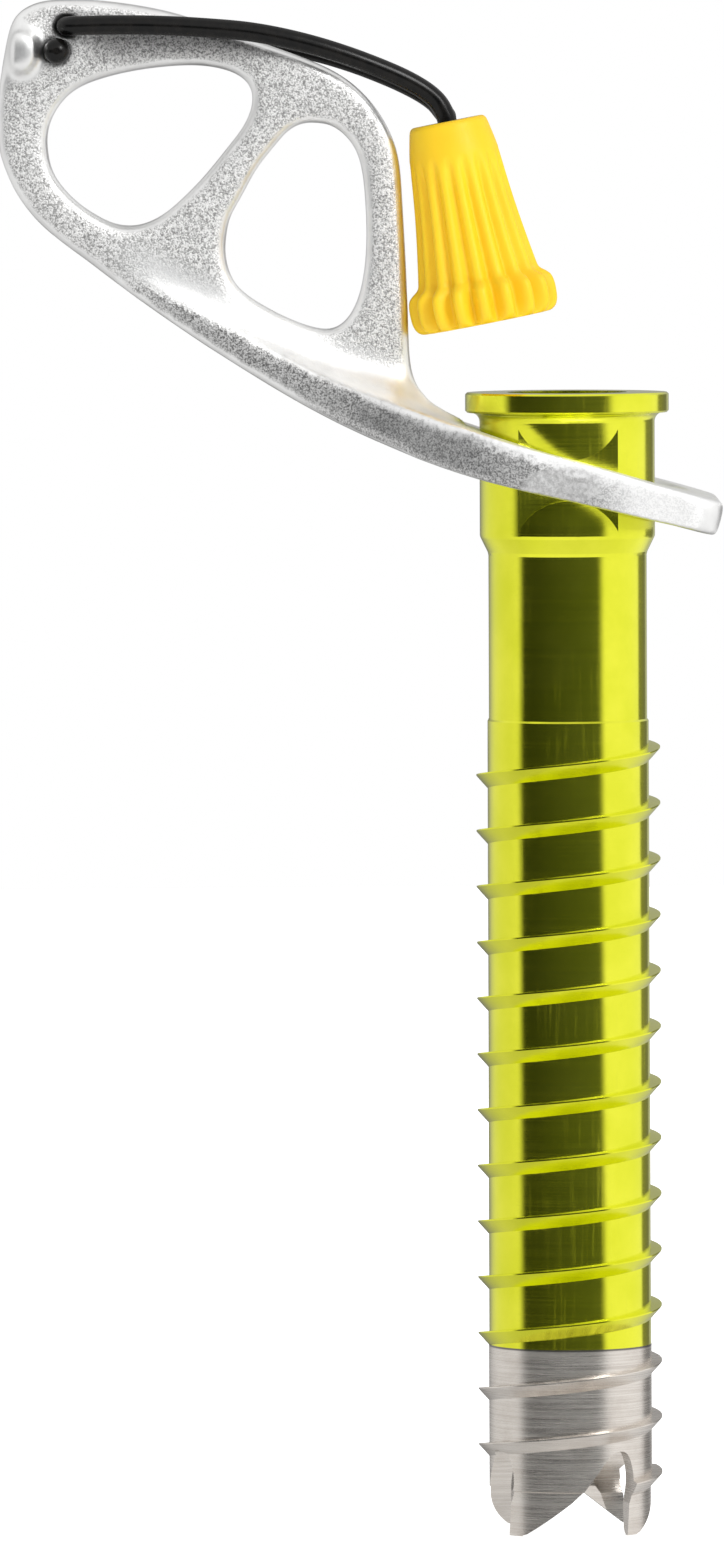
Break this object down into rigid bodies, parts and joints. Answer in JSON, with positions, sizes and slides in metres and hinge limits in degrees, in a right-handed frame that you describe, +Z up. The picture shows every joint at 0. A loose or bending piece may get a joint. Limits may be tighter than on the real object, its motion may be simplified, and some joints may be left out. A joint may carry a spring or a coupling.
{
  "type": "ice screw",
  "caption": "Tubular ice screw with a sawtooth thread, toothed cutting tip, forged hanger with clip holes and a fold-out wire crank with a ribbed knob.",
  "frame": {"origin": "on the tube's axis, at the middle of the seat that the hanger rocks on, inside the tube's bore", "axes": "+Z up the tube's axis towards the head, -Z towards the cutting tip, +X away from the hanger's leaf, the leaf lies in the XZ plane"},
  "size_m": [0.0774, 0.032, 0.1642],
  "materials": {
    "anodised_tube": "polished lime anodising",
    "tip_steel": "turned and ground",
    "forged_aluminium": "bead-blasted forging with polished edges",
    "black_wire": "black satin coating",
    "plated_steel": "satin",
    "yellow_plastic": "moulded, matte"
  },
  "bodies": {
    "screw": {"tube": "anodised_tube", "cutting_tip": "tip_steel"},
    "hanger": {"hanger": "forged_aluminium"},
    "crank": {"front_crank_wire": "black_wire", "knob_sleeve": "plated_steel", "knob_clip": "plated_steel"},
    "back_wire": {"back_crank_wire": "black_wire"},
    "knob": {"knob": "yellow_plastic"}
  },
  "joints": [
    {"name": "hanger_rock", "type": "hinge", "parent": "screw", "child": "hanger", "pos_m": [0, 0, 0], "axis": [0, -1, 0], "range_deg": [0, 32]},
    {"name": "crank_fold", "type": "hinge", "parent": "hanger", "child": "crank", "pos_m": [-0.05327, 0, 0.04852], "axis": [0, -1, 0], "range_deg": [0, 168.6]},
    {"name": "back_wire_fold", "type": "hinge", "parent": "hanger", "child": "back_wire", "pos_m": [-0.05424, 0, 0.04585], "axis": [0, -1, 0], "range_deg": [0, 161]},
    {"name": "knob_spin", "type": "hinge", "parent": "crank", "child": "knob", "pos_m": [-0.01267, 0, 0.03818], "axis": [-0.1909, 0, 0.9816], "continuous": true}
  ],
  "couplings": [
    {"joint": "back_wire_fold", "follows": "crank_fold", "ratio": 0.9545}
  ]
}
